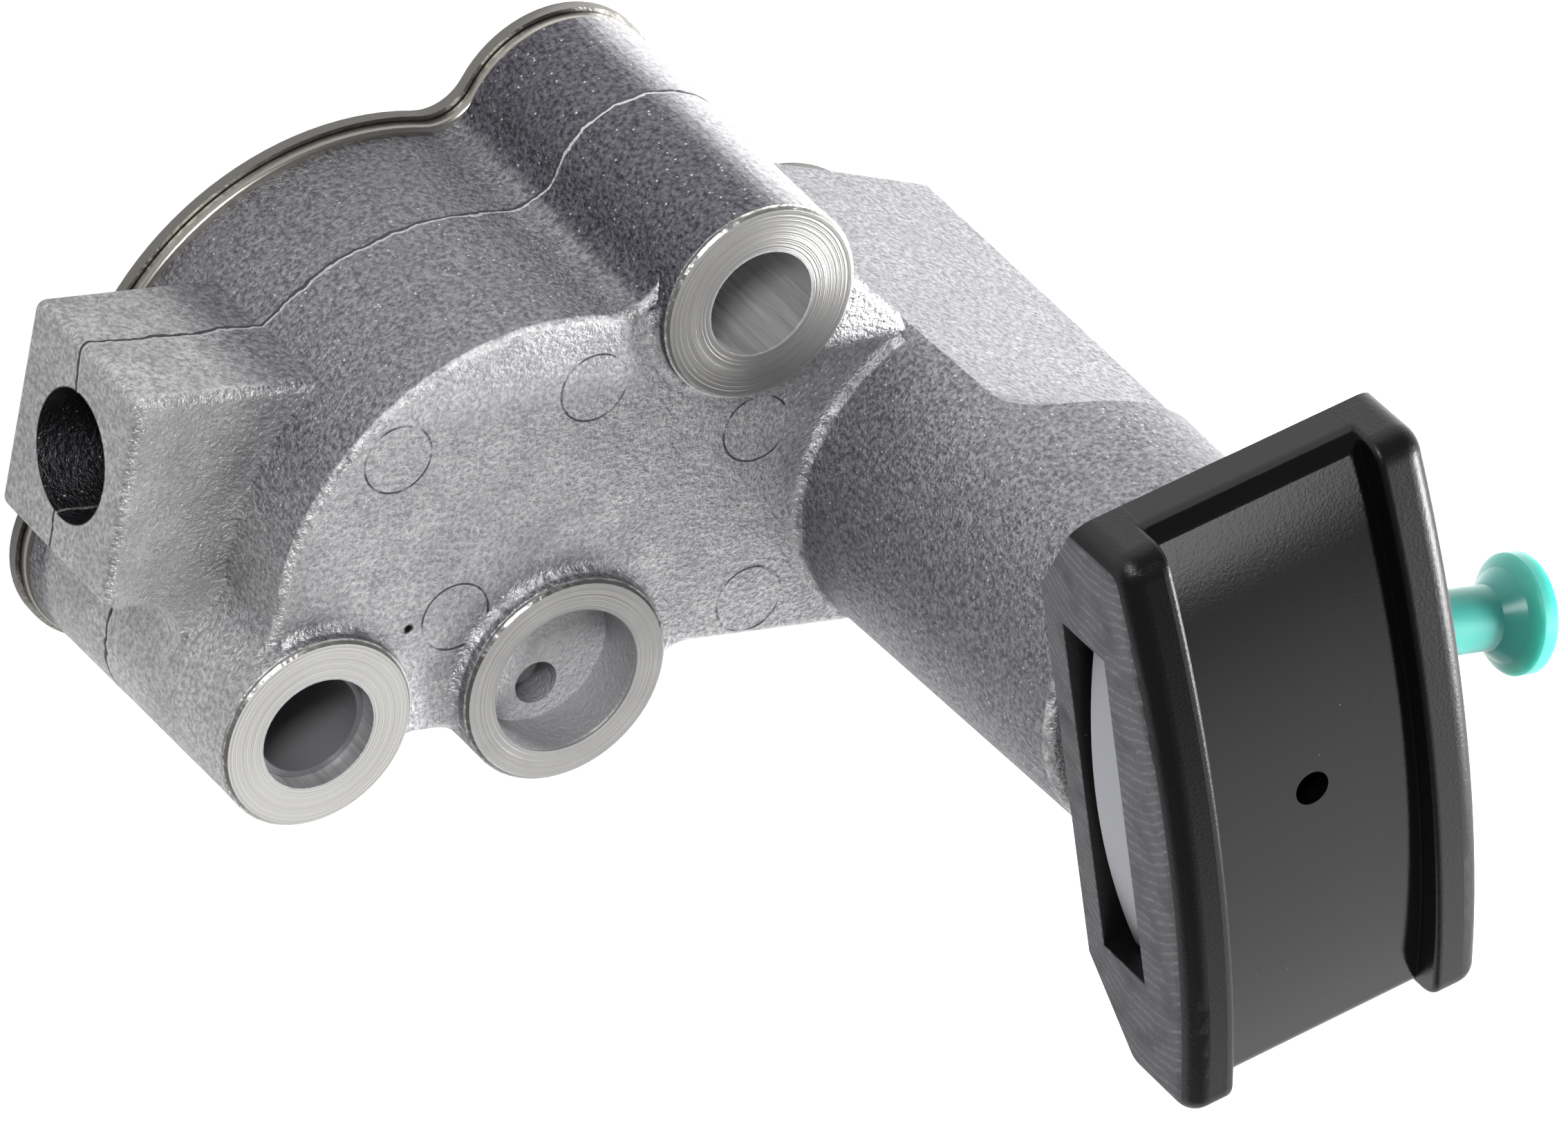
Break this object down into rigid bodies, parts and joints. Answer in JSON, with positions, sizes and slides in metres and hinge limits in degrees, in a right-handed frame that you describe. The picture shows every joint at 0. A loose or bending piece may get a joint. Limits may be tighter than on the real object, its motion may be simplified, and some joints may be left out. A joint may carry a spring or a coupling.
{
  "type": "hydraulic timing chain tensioner",
  "caption": "Cast body with bolt bosses, a port boss and a long guide tube for a sprung plunger with a plastic shoe.",
  "frame": {"origin": "plunger axis where it meets the rear face of the gasket", "axes": "+Z along the plunger away from the engine block, +X from the port boss towards the plunger"},
  "size_m": [0.0796, 0.0448, 0.0638],
  "materials": {
    "cast_housing": "fine blasted die casting, machined boss faces",
    "gasket_steel": "beaded sheet, bright rolled edge",
    "gasket_edge_steel": "stamped sheet, sheared edge",
    "sleeve_steel": "bored and rolled sleeve",
    "turned_steel": "turned and ground",
    "ball_steel": "polished",
    "drawn_steel": "drawn sheet",
    "spring_steel": "oiled spring wire",
    "filler_plastic": "natural moulded plastic",
    "shoe_plastic": "glossy moulded black, milled left side",
    "clip_steel": "blanked plate, faint draw marks",
    "pin_plastic": "translucent moulded teal"
  },
  "bodies": {
    "root": {"housing": "cast_housing", "gasket_front_layer": "gasket_steel", "gasket_rear_layer": "gasket_edge_steel", "gasket_rivets": "gasket_edge_steel", "locating_sleeve": "sleeve_steel", "valve_seat": "turned_steel", "ball_cage": "drawn_steel", "ball_spring": "spring_steel", "plunger_spring": "spring_steel", "retaining_ring": "spring_steel"},
    "plunger_set": {"plunger": "turned_steel", "vent_disc": "drawn_steel", "volume_reducer": "filler_plastic"},
    "shoe_set": {"shoe": "shoe_plastic", "shoe_clip": "clip_steel"},
    "pin": {"transport_pin": "pin_plastic"},
    "ball": {"check_ball": "ball_steel"}
  },
  "joints": [
    {"name": "plunger_slide", "type": "slide", "parent": "root", "child": "plunger_set", "axis": [0, 0, 1], "range_m": [0, 0.01], "deforming": ["plunger_spring"]},
    {"name": "shoe_swivel", "type": "hinge", "parent": "plunger_set", "child": "shoe_set", "pos_m": [0, 0, 0.0518], "axis": [0, 0, 1], "continuous": true},
    {"name": "pin_pull", "type": "slide", "parent": "root", "child": "pin", "axis": [1, 0, 0], "range_m": [0, 0.025]},
    {"name": "ball_lift", "type": "slide", "parent": "root", "child": "ball", "axis": [0, 0, 1], "range_m": [0, 0.0008], "deforming": ["ball_spring"]}
  ],
  "couplings": [
    {"joint": "pin_pull", "follows": "plunger_slide", "ratio": 2.5}
  ]
}
